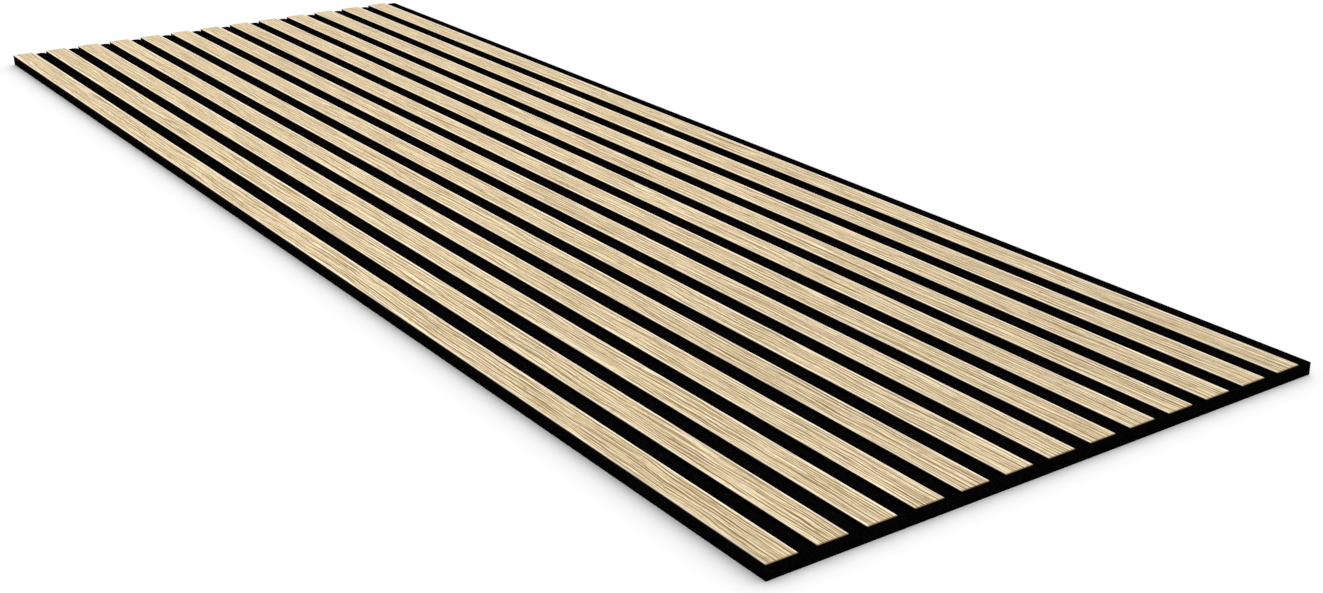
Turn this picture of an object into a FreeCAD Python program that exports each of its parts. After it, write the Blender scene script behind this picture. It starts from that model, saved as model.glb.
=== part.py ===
import FreeCAD
import Part
import os

# Acoustic slat wall panel, lying on its back: a row of black board slats, each with an oak veneer face,
# stapled from behind onto one sheet of black felt.
# Millimetres. X runs across the slats, Y along them, and Z out of the oak faces.
# The origin is the middle of the felt's back face, the face that goes against the wall.

# The row of slats. The first is flush with the felt's left edge. The felt runs on past the last one by
# a gap, so that the next panel butts against it and carries the rhythm on.
slat_count = 13
slat_width = 28.5
slat_gap = 17.5
panel_length = 1800.0

# The layers, from the wall outwards.
felt_thickness = 10.0
core_thickness = 3.4
veneer_thickness = 0.6

# The sanded arris round the oak face.
veneer_arris = 0.25

# The staples: rows across the panel, with one in every slat of a row. Both the crown and the legs are
# of one flat wire, and a leg stops short of the veneer.
staple_rows = 6
staple_end_margin = 60.0
staple_crown = 12.8
wire_width = 0.95
wire_thickness = 0.65
chisel_point = 1.2
core_above_staple = 1.0

slat_pitch = slat_width + slat_gap
panel_width = slat_count * slat_pitch
left_edge = -panel_width / 2
front_end = -panel_length / 2
core_base = felt_thickness
veneer_base = core_base + core_thickness
panel_thickness = veneer_base + veneer_thickness
staple_tip = veneer_base - core_above_staple
row_spacing = (panel_length - 2 * staple_end_margin) / (staple_rows - 1)


def slat_left(slat):
    """X of a slat's left side; slats count from 0."""
    return left_edge + slat * slat_pitch


def strip(width, thickness, left, base):
    """A plain board over the panel's whole length."""
    return Part.makeBox(width, panel_length, thickness, FreeCAD.Vector(left, front_end, base))


def level_edges(solid, height):
    """The edges of a solid that lie at one height."""
    middle = [edge.Vertexes[0].Z + edge.Vertexes[-1].Z for edge in solid.Edges]
    return [edge for edge, total in zip(solid.Edges, middle) if abs(total / 2 - height) < 1e-6]


def staple():
    """One staple about the origin: its crown flush with the felt's back, its legs up into the slat."""
    outer = staple_crown / 2
    inner = outer - wire_thickness
    shoulder = staple_tip - chisel_point
    outline = [
        (-inner, 0.0),
        (inner, 0.0),
        (outer, wire_thickness),
        (outer, staple_tip),
        (inner, shoulder),
        (inner, wire_thickness),
        (-inner, wire_thickness),
        (-inner, shoulder),
        (-outer, staple_tip),
        (-outer, wire_thickness),
    ]
    points = [FreeCAD.Vector(x, -wire_width / 2, z) for x, z in outline]
    side = Part.Face(Part.makePolygon(points + points[:1]))
    return side.extrude(FreeCAD.Vector(0, wire_width, 0))


def staples_of(slat):
    """The staples that hold one slat, down its middle."""
    pattern = staple()
    middle = slat_left(slat) + slat_width / 2
    first = front_end + staple_end_margin
    rows = [first + row * row_spacing for row in range(staple_rows)]
    return [pattern.translated(FreeCAD.Vector(middle, y, 0)) for y in rows]


def slat_core(slat, staples):
    """The board under one oak face, with the holes that its staples' legs have made."""
    board = strip(slat_width, core_thickness, slat_left(slat), core_base)
    return board.cut(Part.makeCompound(staples))


def slat_veneer(slat):
    """The oak sheet glued on one slat, its top edges eased all round."""
    sheet = strip(slat_width, veneer_thickness, slat_left(slat), veneer_base)
    return sheet.makeChamfer(veneer_arris, level_edges(sheet, panel_thickness))


def felt_backing(staples):
    """The felt sheet behind every slat, with each staple's crown pressed in flush."""
    board = strip(panel_width, felt_thickness, left_edge, 0.0)
    return board.cut(Part.makeCompound(staples))


def save(name, shape):
    """Writes one node and says what it holds."""
    assert shape.isValid(), name
    shape.exportStep("parts/" + name + ".step")
    volume = sum(solid.Volume for solid in shape.Solids)
    print(f"{name}: {len(shape.Solids)} solid(s), {volume:.1f} mm3")


os.makedirs("parts", exist_ok=True)
every_staple = []
for slat in range(slat_count):
    own_staples = staples_of(slat)
    every_staple += own_staples
    save(f"slat_core_{slat + 1:02d}", slat_core(slat, own_staples))
    save(f"slat_veneer_{slat + 1:02d}", slat_veneer(slat))
save("felt_backing", felt_backing(every_staple))
save("back_staples", Part.makeCompound(every_staple))
print(f"panel {panel_width:g} x {panel_length:g} x {panel_thickness:g} mm")
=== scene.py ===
# %% [markdown]
# An acoustic slat wall panel: a row of thin black boards, each faced with oak veneer, on a sheet of black
# felt. The boards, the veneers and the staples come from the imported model, at their real size and place, in
# metres. X runs across the slats, Y along them, and Z out of the oak faces, and the panel lies on its back
# at Z = 0. What is added here is the finish of every surface, the felt as a soft sheet, the light and the
# camera.

# %% Load the panel
import math

import bpy
from mathutils import Matrix, Vector


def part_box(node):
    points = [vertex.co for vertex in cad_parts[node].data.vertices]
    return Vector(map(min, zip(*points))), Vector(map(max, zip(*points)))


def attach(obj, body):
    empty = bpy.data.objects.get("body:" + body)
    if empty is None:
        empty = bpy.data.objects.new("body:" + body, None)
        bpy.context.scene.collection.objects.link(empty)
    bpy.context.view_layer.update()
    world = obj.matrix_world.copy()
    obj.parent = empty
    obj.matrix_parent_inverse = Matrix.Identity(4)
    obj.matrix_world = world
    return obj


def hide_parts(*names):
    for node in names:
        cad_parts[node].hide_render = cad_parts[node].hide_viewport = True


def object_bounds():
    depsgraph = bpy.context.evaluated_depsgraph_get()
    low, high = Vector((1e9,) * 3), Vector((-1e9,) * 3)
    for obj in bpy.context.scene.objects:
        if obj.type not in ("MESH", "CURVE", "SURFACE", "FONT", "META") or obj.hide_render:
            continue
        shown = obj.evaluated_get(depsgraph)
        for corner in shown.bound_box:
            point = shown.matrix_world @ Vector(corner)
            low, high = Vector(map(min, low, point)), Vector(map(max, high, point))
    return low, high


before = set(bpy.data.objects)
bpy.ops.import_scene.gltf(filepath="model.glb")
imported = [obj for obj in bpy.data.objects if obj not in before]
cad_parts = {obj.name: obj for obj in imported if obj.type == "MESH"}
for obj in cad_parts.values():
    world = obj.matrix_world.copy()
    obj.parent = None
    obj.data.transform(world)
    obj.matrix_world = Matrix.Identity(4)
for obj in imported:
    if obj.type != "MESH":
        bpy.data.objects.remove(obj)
cad_low, cad_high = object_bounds()
print("panel, mm:", [round(1000 * size, 2) for size in cad_high - cad_low])

# %% [markdown]
# Nothing is typed in twice. The places of the slats and of the staples are read from the model, so the
# finishes and the felt stay in step with it. A staple's points lie in a small heap, so sorting one
# coordinate of all the points, and starting a new group at each wide gap, gives the low and high end of
# every heap along that axis.

# %% Read the slats' places
veneer_names = sorted(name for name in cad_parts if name.startswith("slat_veneer_"))
core_names = sorted(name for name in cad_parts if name.startswith("slat_core_"))
first_low, first_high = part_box(veneer_names[0])
second_low, second_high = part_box(veneer_names[1])
slat_left = first_low.x
slat_width = first_high.x - first_low.x
slat_pitch = second_low.x - first_low.x
panel_length = first_high.y - first_low.y
face_height = first_high.z
print(len(veneer_names), "slats, pitch in mm:", round(1000 * slat_pitch, 2))


# %% Read the staples' places
def groups(values, gap):
    """The lowest and highest value of each group, where groups lie more than a gap apart."""
    ordered = sorted(values)
    starts = [i for i in range(1, len(ordered)) if ordered[i] - ordered[i - 1] > gap]
    edges = [0] + starts + [len(ordered)]
    return [(ordered[a], ordered[b - 1]) for a, b in zip(edges, edges[1:])]


staple_points = [vertex.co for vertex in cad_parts["back_staples"].data.vertices]
crowns_x = groups([point.x for point in staple_points], slat_width / 2)
crowns_y = groups([point.y for point in staple_points], slat_width / 2)
wire_depth = groups([point.z for point in staple_points], 0.0001)[1][0]
print("staples:", len(crowns_x), "by", len(crowns_y), "wire depth in mm:", round(1000 * wire_depth, 2))

# %% [markdown]
# Needle-punched felt is stiff enough to be cut like a board, but it is still soft: its cut edges are round,
# it is pulled in round every staple, and where no slat presses on it, it springs back to its full 12 mm, so
# that every groove has a low crown along its floor. It could be simulated as cloth, but nothing here hangs
# or folds. So a block of the pressed size gets guide lines by bisecting it, and groups of points on those
# lines are moved.

# %% Start the felt as a block
felt_low, felt_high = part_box("felt_backing")
bpy.ops.object.select_all(action="DESELECT")
bpy.ops.mesh.primitive_cube_add(size=1, location=(felt_low + felt_high) / 2, scale=felt_high - felt_low)
felt = bpy.context.object
felt.name = "felt_sheet"
bpy.ops.object.transform_apply(location=True, rotation=False, scale=True)


# %% Cut guide lines round the grooves and the staples
def cut_lines(places, normal):
    """Bisects the mesh in edit mode by parallel planes."""
    for place in places:
        bpy.ops.mesh.select_all(action="SELECT")
        bpy.ops.mesh.bisect(plane_co=Vector(normal) * place, plane_no=normal)


# How far from a slat's side, and which share of the felt's full swell is reached there.
swell_steps = ((0.0, 0.0), (0.0012, 0.45), (0.0040, 0.85), (0.0080, 1.0))
# How far from a staple's crown the guide lines of its dimple lie. The outermost stays flat.
staple_margins = (0.00015, 0.0010, 0.0028)
slat_sides = [slat_left + i * slat_pitch + side for i in range(len(veneer_names)) for side in (0, slat_width)]
# Nothing presses on the felt's bare edge, so the last open strip runs on past it.
past_the_edge = felt_high.x + slat_width
groove_sides = slat_sides[1:] + [past_the_edge]
open_strips = list(zip(groove_sides[0::2], groove_sides[1::2]))
lines_x = []
for low, high in open_strips:
    for reach, _ in swell_steps:
        lines_x += [low + reach, high - reach]
for low, high in crowns_x:
    lines_x += [low - margin for margin in staple_margins] + [high + margin for margin in staple_margins]
lines_x = [x for x in lines_x if x < felt_high.x]

line_spacing = 0.03
lines_y = [felt_low.y + line_spacing * i for i in range(1, int(panel_length / line_spacing))]
for low, high in crowns_y:
    lines_y += [low - margin for margin in staple_margins] + [high + margin for margin in staple_margins]

bpy.ops.object.mode_set(mode="EDIT")
cut_lines(lines_x, (1, 0, 0))
cut_lines(lines_y, (0, 1, 0))
bpy.ops.object.mode_set(mode="OBJECT")
print("felt faces after cutting:", len(felt.data.polygons))


# %% Move groups of points
def move_points(piece, wanted, shift):
    """Moves those points of a piece for which wanted(point) holds."""
    bpy.ops.object.mode_set(mode="EDIT")
    bpy.ops.mesh.select_mode(type="VERT")
    bpy.ops.mesh.select_all(action="DESELECT")
    bpy.ops.object.mode_set(mode="OBJECT")
    for vertex in piece.data.vertices:
        vertex.select = wanted(vertex.co)
    bpy.ops.object.mode_set(mode="EDIT")
    bpy.ops.transform.translate(value=shift)
    bpy.ops.object.mode_set(mode="OBJECT")


def inside(value, ranges, margin):
    """Whether a value lies in one of the ranges, each wider by a margin at both ends."""
    reach = margin + 1e-6
    return any(low - reach <= value <= high + reach for low, high in ranges)


# %% Let the felt swell in the grooves
full_swell = 0.0020
top = felt_high.z - 1e-6
for (_, done), (reach, share) in zip(swell_steps, swell_steps[1:]):
    rise = (share - done) * full_swell
    move_points(felt, lambda p: p.z > top and inside(p.x, open_strips, -reach), (0, 0, rise))
print("felt swell in mm:", round(1000 * full_swell, 2))

# %% Pull it in round the staples
# The second pull lifts the first one's points again, so the felt ends just behind the crown's inner face.
pulls = (wire_depth * 0.75, wire_depth * 0.30)
back = wire_depth * 0.9
for margin, pull in zip(staple_margins, pulls):
    move_points(
        felt,
        lambda p: p.z < back and inside(p.x, crowns_x, margin) and inside(p.y, crowns_y, margin),
        (0, 0, pull),
    )
print("felt height range in mm:", [round(1000 * felt.bound_box[i][2], 3) for i in (0, 6)])

# %% Round the felt's cut edges
edge_radius = 0.0005
soft_edge = felt.modifiers.new("soft_edge", "BEVEL")
soft_edge.width = edge_radius
soft_edge.segments = 3
soft_edge.limit_method = "ANGLE"
soft_edge.angle_limit = math.radians(60)
bpy.ops.object.modifier_apply(modifier="soft_edge")
bpy.ops.object.shade_smooth_by_angle(angle=math.radians(50))
print("felt triangles:", sum(len(face.vertices) - 2 for face in felt.data.polygons))

# %% [markdown]
# A finish is a small network of shader nodes. Written out by hand it takes a dozen lines for one formula,
# so two small classes carry the load. Finish adds a node of any kind in one call. Socket wraps what comes
# out of a node, and Python's own signs then add the Math nodes, so 1 - mask is a formula again.


# %% Shader maths in plain Python
class Socket:
    """What comes out of a node, for use in formulas. Each sign adds one Math node."""

    def __init__(self, finish, link):
        self.finish = finish
        self.link = link

    def maths(self, operation, *values):
        """One Math node of the given operation."""
        return self.finish.node("ShaderNodeMath", {"operation": operation}, dict(enumerate(values)))

    def of(self, operation):
        """A function of this value alone, such as FLOOR or SINE."""
        return self.maths(operation, self)

    def __add__(self, other):
        return self.maths("ADD", self, other)

    def __sub__(self, other):
        return self.maths("SUBTRACT", self, other)

    def __rsub__(self, other):
        return self.maths("SUBTRACT", other, self)

    def __mul__(self, other):
        return self.maths("MULTIPLY", self, other)

    def __truediv__(self, other):
        return self.maths("DIVIDE", self, other)

    __radd__ = __add__
    __rmul__ = __mul__


# %% One method for every node
class Finish:
    """The nodes of one material, or of the sky, and the one method that adds to them."""

    def __init__(self, owner):
        self.owner = owner
        owner.use_nodes = True
        self.tree = owner.node_tree
        self.tree.nodes.clear()

    def node(self, kind, settings=None, sockets=None, outputs=(0,)):
        """Adds a node: its settings first, then its sockets' values or links. Gives the outputs asked for."""
        made = self.tree.nodes.new(kind)
        for name, value in (settings or {}).items():
            if name == "stops":
                self.set_stops(made.color_ramp.elements, value)
            else:
                setattr(made, name, value)
        for name, value in (sockets or {}).items():
            if isinstance(value, Socket):
                self.tree.links.new(value.link, made.inputs[name])
            else:
                made.inputs[name].default_value = value
        given = [Socket(self, made.outputs[name]) for name in outputs]
        return given[0] if len(given) == 1 else given

    def set_stops(self, elements, stops):
        """Gives a ramp its stops, each a place from 0 to 1 and a colour."""
        while len(elements) < len(stops):
            elements.new(1.0)
        for element, (place, colour) in zip(elements, stops):
            element.position = place
            element.color = colour

    def place(self):
        """The X, Y and Z of the point on the piece."""
        point = self.node("ShaderNodeTexCoord", outputs=("Object",))
        return self.node("ShaderNodeSeparateXYZ", sockets={0: point}, outputs=("X", "Y", "Z"))

    def noise(self, x, y, z, detail=2.0, roughness=0.5):
        """Soft noise from 0 to 1 about 0.5. The factor on each coordinate sets how many bumps a metre has."""
        point = self.node("ShaderNodeCombineXYZ", sockets={"X": x, "Y": y, "Z": z})
        sockets = {"Vector": point, "Scale": 1.0, "Detail": detail, "Roughness": roughness}
        return self.node("ShaderNodeTexNoise", {"noise_dimensions": "3D"}, sockets, outputs=("Fac",))

    def rise(self, value, low, high):
        """0 below low, 1 above high, and a smooth rise between them."""
        settings = {"interpolation_type": "SMOOTHSTEP"}
        return self.node("ShaderNodeMapRange", settings, {"Value": value, "From Min": low, "From Max": high})

    def mix(self, share, first, second):
        """The first colour where share is 0, and the second where it is 1."""
        factor, colour_a, colour_b, colour_out = 0, 6, 7, 2
        settings = {"data_type": "RGBA", "clamp_factor": True}
        sockets = {factor: share, colour_a: first, colour_b: second}
        return self.node("ShaderNodeMix", settings, sockets, outputs=(colour_out,))

    def bump(self, height, depth):
        """A normal for relief that is depth metres deep where height goes from 0 to 1."""
        sockets = {"Height": height, "Distance": depth, "Strength": 1.0}
        return self.node("ShaderNodeBump", sockets=sockets)

    def surface(self, **sockets):
        """Ends the network with a Principled shader. An underscore stands for a space in a socket's name."""
        named = {name.replace("_", " "): value for name, value in sockets.items()}
        shader = self.node("ShaderNodeBsdfPrincipled", sockets=named)
        self.node("ShaderNodeOutputMaterial", sockets={"Surface": shader}, outputs=())
        return self.owner


# %% Colours as they look on a screen
def screen(red, green, blue):
    """A colour given as 0 to 255 screen values, as the linear values that shaders take."""
    shares = [value / 255 for value in (red, green, blue)]
    linear = [s / 12.92 if s <= 0.04045 else ((s + 0.055) / 1.055) ** 2.4 for s in shares]
    return (*linear, 1.0)


print("mid oak, linear:", [round(value, 3) for value in screen(207, 185, 142)])

# %% [markdown]
# Oak veneer is a thin slice of a tree, so its pattern is the tree's rings cut at a slant. Each slat gets
# its own slice: a random number that depends on the slat alone moves the pattern along and across, and no
# two slats match. Five scales make the picture. The rings give broad wavy bands, and the grain gives
# streaks a millimetre or two wide. Close fine lines run along the whole slat as if combed, pores give short
# dark dashes, and fibres finer than half a millimetre show only close up. The fine lines are sine waves
# that noise pushes to and fro, because noise alone has too few lines to a millimetre. The first slats get a
# livelier figure than the last. An image would be quicker, but it has one resolution and repeats.


# %% Where a point lies on its slat
def slat_place(finish, x):
    """Three random numbers that each slat has for itself, and the distance from the slat's middle line."""
    slat = ((x - slat_left) / slat_pitch).of("FLOOR")
    lot = finish.node("ShaderNodeTexWhiteNoise", {"noise_dimensions": "1D"}, {"W": slat}, outputs=("Color",))
    lots = finish.node("ShaderNodeSeparateColor", sockets={0: lot}, outputs=(0, 1, 2))
    return lots, x - slat_left - slat * slat_pitch - slat_width / 2


# %% Where the figure bends
def bent_place(finish, lots, across, along, lively):
    """The distance from the slat's middle line, bent this way and that, and most where lively is 1."""
    drift = finish.noise(across * 12, along * 2.2, lots[1] * 40) - 0.5
    ripple = finish.noise(across * 60, along * 18, lots[2] * 40) - 0.5
    return across + drift * 0.014 + ripple * (lively * 0.0026 + 0.0018)


# %% Growth rings
def early_wood(finish, lots, bent, along):
    """1 in the open early wood of each growth ring, and 0 in its dense late wood."""
    ring_spacing = 0.0047
    heart_side = (lots[0] * 2).of("FLOOR") * 2 - 1
    off = bent * heart_side - 0.018 - lots[1] * 0.09
    depth = finish.noise(lots[2] * 30, along * 0.9, 3.0, detail=1) * 0.06
    radius = (off * off + depth * depth).of("SQRT")
    ring = (radius / ring_spacing + finish.noise(bent * 60, along * 3, 7.0)).of("FRACT")
    return 1 - finish.rise(ring, 0.0, 0.36)


# %% Fine lines along a slat
def fine_lines(finish, lots, bent, along):
    """Close lines that run the whole length, as the sum of four sets, each with its own spacing."""
    total = 0.0
    for per_metre, strength in ((150, 0.12), (250, 0.36), (400, 0.41), (650, 0.36)):
        wander = finish.noise(bent * per_metre * 0.3, along * 5, lots[1] * 50 + per_metre, detail=1) * 3.5
        total = total + ((bent * per_metre + wander) * math.tau).of("SINE") * strength
    return total


# %% Rings, grain, lines, pores and fibres together
def oak_tone(finish, lots, across, y, lively):
    """The oak's lightness from 0 to 1, how much of a pore a point lies in, and the finest fibres about 0."""
    lot_a, lot_b, lot_c = lots
    along = y + lot_a * 20
    bent = bent_place(finish, lots, across, along, lively)
    early = early_wood(finish, lots, bent, along)

    wisp = finish.noise(bent * 210, along * 7, lot_a * 40, detail=1) - 0.5
    line = 1 - finish.rise(wisp.of("ABSOLUTE"), 0.0, 0.05)
    grain = finish.noise(bent * 700, along * 9, lot_a * 60, detail=2, roughness=0.65) - 0.5
    combed = fine_lines(finish, lots, bent, along)
    broad = finish.noise(bent * 200, along * 5, lot_b * 60) - 0.5
    slat_tone = (lot_c - 0.5) * 0.06
    tone = 0.58 + combed + grain * 1.8 + broad * 0.10 + slat_tone - early * 0.09 - line * 0.12

    dash = finish.noise(bent * 700, along * 24, lot_c * 60, detail=1)
    prick = finish.noise(bent * 2200, along * 80, lot_a * 40, detail=1)
    pore = finish.rise(dash, 0.56, 0.70) * (early * 0.8 + 0.2) * 0.7 + finish.rise(prick, 0.60, 0.67)
    fibre = finish.noise(bent * 2400, along * 40, lot_c * 40, detail=2) - 0.5
    return tone, pore, fibre


# %% The oak's colours and relief
def oak_finish():
    """Matt lacquered natural oak, with a painted highlight along each long edge, brown sawn sides and a
    darker band along each end. Its far end is calmer, and paler from painted light.
    """
    finish = Finish(bpy.data.materials.new("oak_veneer"))
    x, y, z = finish.place()
    lots, across = slat_place(finish, x)
    from_side = slat_width / 2 - across.of("ABSOLUTE")
    from_end = panel_length / 2 - y.of("ABSOLUTE")
    lively = 1 - finish.rise(x, cad_low.x, cad_high.x)
    tone, pore, fibre = oak_tone(finish, lots, across, y, lively)
    stops = [
        (0.00, screen(140, 114, 73)),
        (0.22, screen(175, 151, 107)),
        (0.38, screen(195, 172, 128)),
        (0.50, screen(207, 185, 142)),
        (0.64, screen(222, 200, 157)),
        (0.82, screen(236, 216, 174)),
        (1.00, screen(250, 233, 195)),
    ]
    wood = finish.node("ShaderNodeValToRGB", {"stops": stops}, {"Fac": tone}, outputs=("Color",))
    blush = finish.rise(finish.noise(across * 110, y * 9 + lots[2] * 30, 5.0), 0.42, 0.72)
    wood = finish.mix(blush * 0.18, wood, screen(217, 184, 148))
    wood = finish.mix(pore * 0.60, wood, screen(134, 105, 66))

    # Painted light: the face grows paler towards the far end, as if more light fell there.
    painted_far_light = finish.rise(y, -0.45 * panel_length, 0.05 * panel_length)
    calm_end = finish.rise(y, -0.1 * panel_length, 0.4 * panel_length)
    wood = finish.mix(calm_end * 0.2, wood, screen(206, 185, 145))
    # Painted highlight: a pale cream band along each long edge of the face stands in for light caught by the
    # arris.
    painted_edge_highlight = 1 - finish.rise(from_side, 0.0006, 0.0032)
    wood = finish.mix(painted_edge_highlight * 0.5, wood, screen(255, 246, 228))
    # The lightness carries the painted edge highlight and the painted light at the far end, as well as the
    # fibres.
    lightness = 1.01 + painted_far_light * 0.14 + painted_edge_highlight * 0.14 + fibre * 0.6
    wood = finish.node("ShaderNodeVectorMath", {"operation": "SCALE"}, {0: wood, "Scale": lightness})

    sawn_side = 1 - finish.rise(z, face_height - 0.00020, face_height - 0.00004)
    wood = finish.mix(sawn_side * 0.85, wood, screen(104, 80, 52))
    # A darker brown band on the face along each slat's ends.
    end_band = 1 - finish.rise(from_end, 0.0003, 0.0016)
    wood = finish.mix(end_band * 0.7, wood, screen(128, 98, 64))

    height = tone * 0.5 - pore * 0.6
    return finish.surface(
        Base_Color=wood,
        Roughness=0.62 - tone * 0.10 + pore * 0.15,
        Specular_IOR_Level=0.14,
        Normal=finish.bump(height, 0.00010),
    )


oak = oak_finish()
for name in veneer_names:
    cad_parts[name].data.materials.clear()
    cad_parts[name].data.materials.append(oak)
print("oak nodes:", len(oak.node_tree.nodes))

# %% [markdown]
# The board under the oak is fibreboard dyed black right through, so its sawn sides need no paint. Close up
# it is a mat of short fibres. It reflects very little: a plain black with the usual gloss would turn grey
# here, because a white studio is mirrored faintly by everything, so its gloss is turned down.


# %% Black fibreboard
def board_finish():
    """Sawn black fibreboard: nearly black, with paler fibre ends and faint saw lines."""
    finish = Finish(bpy.data.materials.new("black_board"))
    x, y, z = finish.place()
    fibres = finish.noise(x * 1800, y * 500, z * 2600, detail=3, roughness=0.6)
    saw = finish.noise(x * 60, y * 900, z * 40, detail=1)
    fleck = finish.rise(fibres, 0.62, 0.78)
    colour = finish.mix(fleck * 0.6 + saw * 0.2, screen(4, 3, 3), screen(17, 15, 13))
    return finish.surface(
        Base_Color=colour,
        Roughness=0.82 + fibres * 0.12,
        Specular_IOR_Level=0.01,
        Normal=finish.bump(fibres * 0.6 + saw * 0.4, 0.00015),
    )


board = board_finish()
for name in core_names:
    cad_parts[name].data.materials.clear()
    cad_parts[name].data.materials.append(board)

# %% [markdown]
# Needle felt is a tangle of fibres that lie every way, pinned down in rows by barbed needles. Three noises,
# each stretched along its own direction, cross each other like such fibres. A fine grid of pits stands for
# the needles.


# %% Black needle felt
def felt_finish():
    """Black polyester needle felt: crossing fibres, needle pits and a trace of grey fuzz."""
    finish = Finish(bpy.data.materials.new("black_felt"))
    x, y, z = finish.place()
    mat = 0.0
    for turn in (10, 75, 130):
        run = x * math.cos(math.radians(turn)) + y * math.sin(math.radians(turn))
        side = y * math.cos(math.radians(turn)) - x * math.sin(math.radians(turn))
        mat = mat + finish.noise(run * 170, side * 1600, z * 900 + turn, detail=1)
    mat = mat / 3
    cloud = finish.noise(x * 45, y * 45, z * 45)
    needle_pitch = 0.0026
    needle_x = (x / needle_pitch * math.tau).of("SINE")
    needle_y = (y / needle_pitch * math.tau).of("SINE")
    pits = finish.rise(needle_x * needle_y, 0.55, 0.95)
    fuzz = finish.rise(mat, 0.55, 0.66)
    colour = finish.mix(fuzz * 0.7 + cloud * 0.1, screen(3, 2, 2), screen(34, 33, 34))
    return finish.surface(
        Base_Color=colour,
        Roughness=0.9 + fuzz * 0.08,
        Specular_IOR_Level=0.0,
        Normal=finish.bump(mat + cloud * 0.4 - pits * 0.3, 0.0004),
    )


felt.data.materials.append(felt_finish())
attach(felt, "root")
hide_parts("felt_backing")

# %% [markdown]
# A staple is drawn from round wire that is rolled flat and zinc plated, so it shines along its length, with
# fine draw lines and a few dull blotches where the zinc has bloomed.


# %% Zinc-plated staple wire
def wire_finish():
    """Flat zinc-plated steel wire."""
    finish = Finish(bpy.data.materials.new("staple_wire"))
    x, y, z = finish.place()
    lines = finish.noise(x * 120, y * 9000, z * 120, detail=1)
    bloom = finish.rise(finish.noise(x * 700, y * 700, z * 700), 0.50, 0.68)
    colour = finish.mix(bloom * 0.6, screen(196, 198, 201), screen(150, 152, 155))
    return finish.surface(
        Base_Color=colour,
        Metallic=1.0,
        Roughness=0.30 + lines * 0.10 + bloom * 0.2,
        Normal=finish.bump(lines, 0.00002),
    )


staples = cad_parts["back_staples"]
staples.data.materials.clear()
staples.data.materials.append(wire_finish())

# %% [markdown]
# The floor is a wide white sheet that only has to catch the panel's soft shadow. It is lit like the panel,
# and for the camera alone it gives off a little light of its own, so that it clears to pure white away from
# the shadow. Reflections and see-through surfaces are counted as the camera's, so that metal mirrors the
# same white.

# %% What the camera sees
def seen_by_camera(finish):
    """1 for a ray from the camera, also by way of a mirror or a clear surface, and 0 for light on its way."""
    wanted = ("Is Camera Ray", "Is Glossy Ray", "Is Transmission Ray")
    straight, mirrored, through = finish.node("ShaderNodeLightPath", outputs=wanted)
    return straight.maths("MAXIMUM", straight, mirrored.maths("MAXIMUM", mirrored, through))


# %% White floor
floor_drop = 0.0001
floor_glow = 0.055
bpy.ops.object.select_all(action="DESELECT")
bpy.ops.mesh.primitive_plane_add(size=60, location=(0, 0, -floor_drop))
floor = bpy.context.object
floor.name = "studio_floor"
paper = Finish(bpy.data.materials.new("studio_floor"))
matt = paper.node("ShaderNodeBsdfDiffuse", sockets={"Color": screen(252, 252, 252)})
glow = paper.node("ShaderNodeEmission", sockets={"Strength": seen_by_camera(paper) * floor_glow})
both = paper.node("ShaderNodeAddShader", sockets={0: matt, 1: glow})
paper.node("ShaderNodeOutputMaterial", sockets={"Surface": both}, outputs=())
floor.data.materials.append(paper.owner)

# %% [markdown]
# The light comes from an even white sky and from a very wide, soft source at the far right, like a big
# window. Together they light the oak faces at a plain level of about 1. The sky alone leaves a thin grey
# line round the panel, and the soft source widens it on the near and left sides into the shadow that fades
# out over 30 mm.

# %% Sky
sky_strength = 0.70
sky = Finish(bpy.data.worlds.new("studio_sky"))
bpy.context.scene.world = sky.owner
strength = seen_by_camera(sky) * (1 - sky_strength) + sky_strength
light = sky.node("ShaderNodeBackground", sockets={"Color": (1, 1, 1, 1), "Strength": strength})
sky.node("ShaderNodeOutputWorld", sockets={"Surface": light}, outputs=())

# %% Soft key light
key_share = 0.30
toward_key = Vector((0.64, 0.34, 0.80)).normalized()
key = bpy.data.lights.new("key", "SUN")
key.energy = key_share * math.pi / toward_key.z
key.angle = math.radians(70)
key_object = bpy.data.objects.new("key", key)
bpy.context.scene.collection.objects.link(key_object)
key_object.rotation_euler = toward_key.to_track_quat("Z", "Y").to_euler()
print("light on the panel:", round(sky_strength + key_share, 3))

# %% [markdown]
# The camera stands at the near left, about 2 m from the panel's middle and 0.65 m above the floor. Its
# place and lens were worked out from the panel's corners, its outline and the slats' edges. The picture is
# cropped a little off centre, which a small lens shift repeats.

# %% Camera
camera_data = bpy.data.cameras.new("camera")
camera_data.lens = 49.54
camera_data.sensor_width = 36
camera_data.shift_x = -0.0725
camera_data.clip_end = 100
camera = bpy.data.objects.new("camera", camera_data)
bpy.context.scene.collection.objects.link(camera)
heading = math.radians(36.591)
look_down = math.radians(21.573)
lean = math.radians(0.043)
turn = Matrix.Rotation(-heading, 4, "Z") @ Matrix.Rotation(math.pi / 2 - look_down, 4, "X")
camera.matrix_world = Matrix.Translation((-0.9646, -1.7866, 0.6527)) @ turn @ Matrix.Rotation(lean, 4, "Z")
bpy.context.scene.camera = camera
bpy.context.scene.view_settings.view_transform = "Standard"
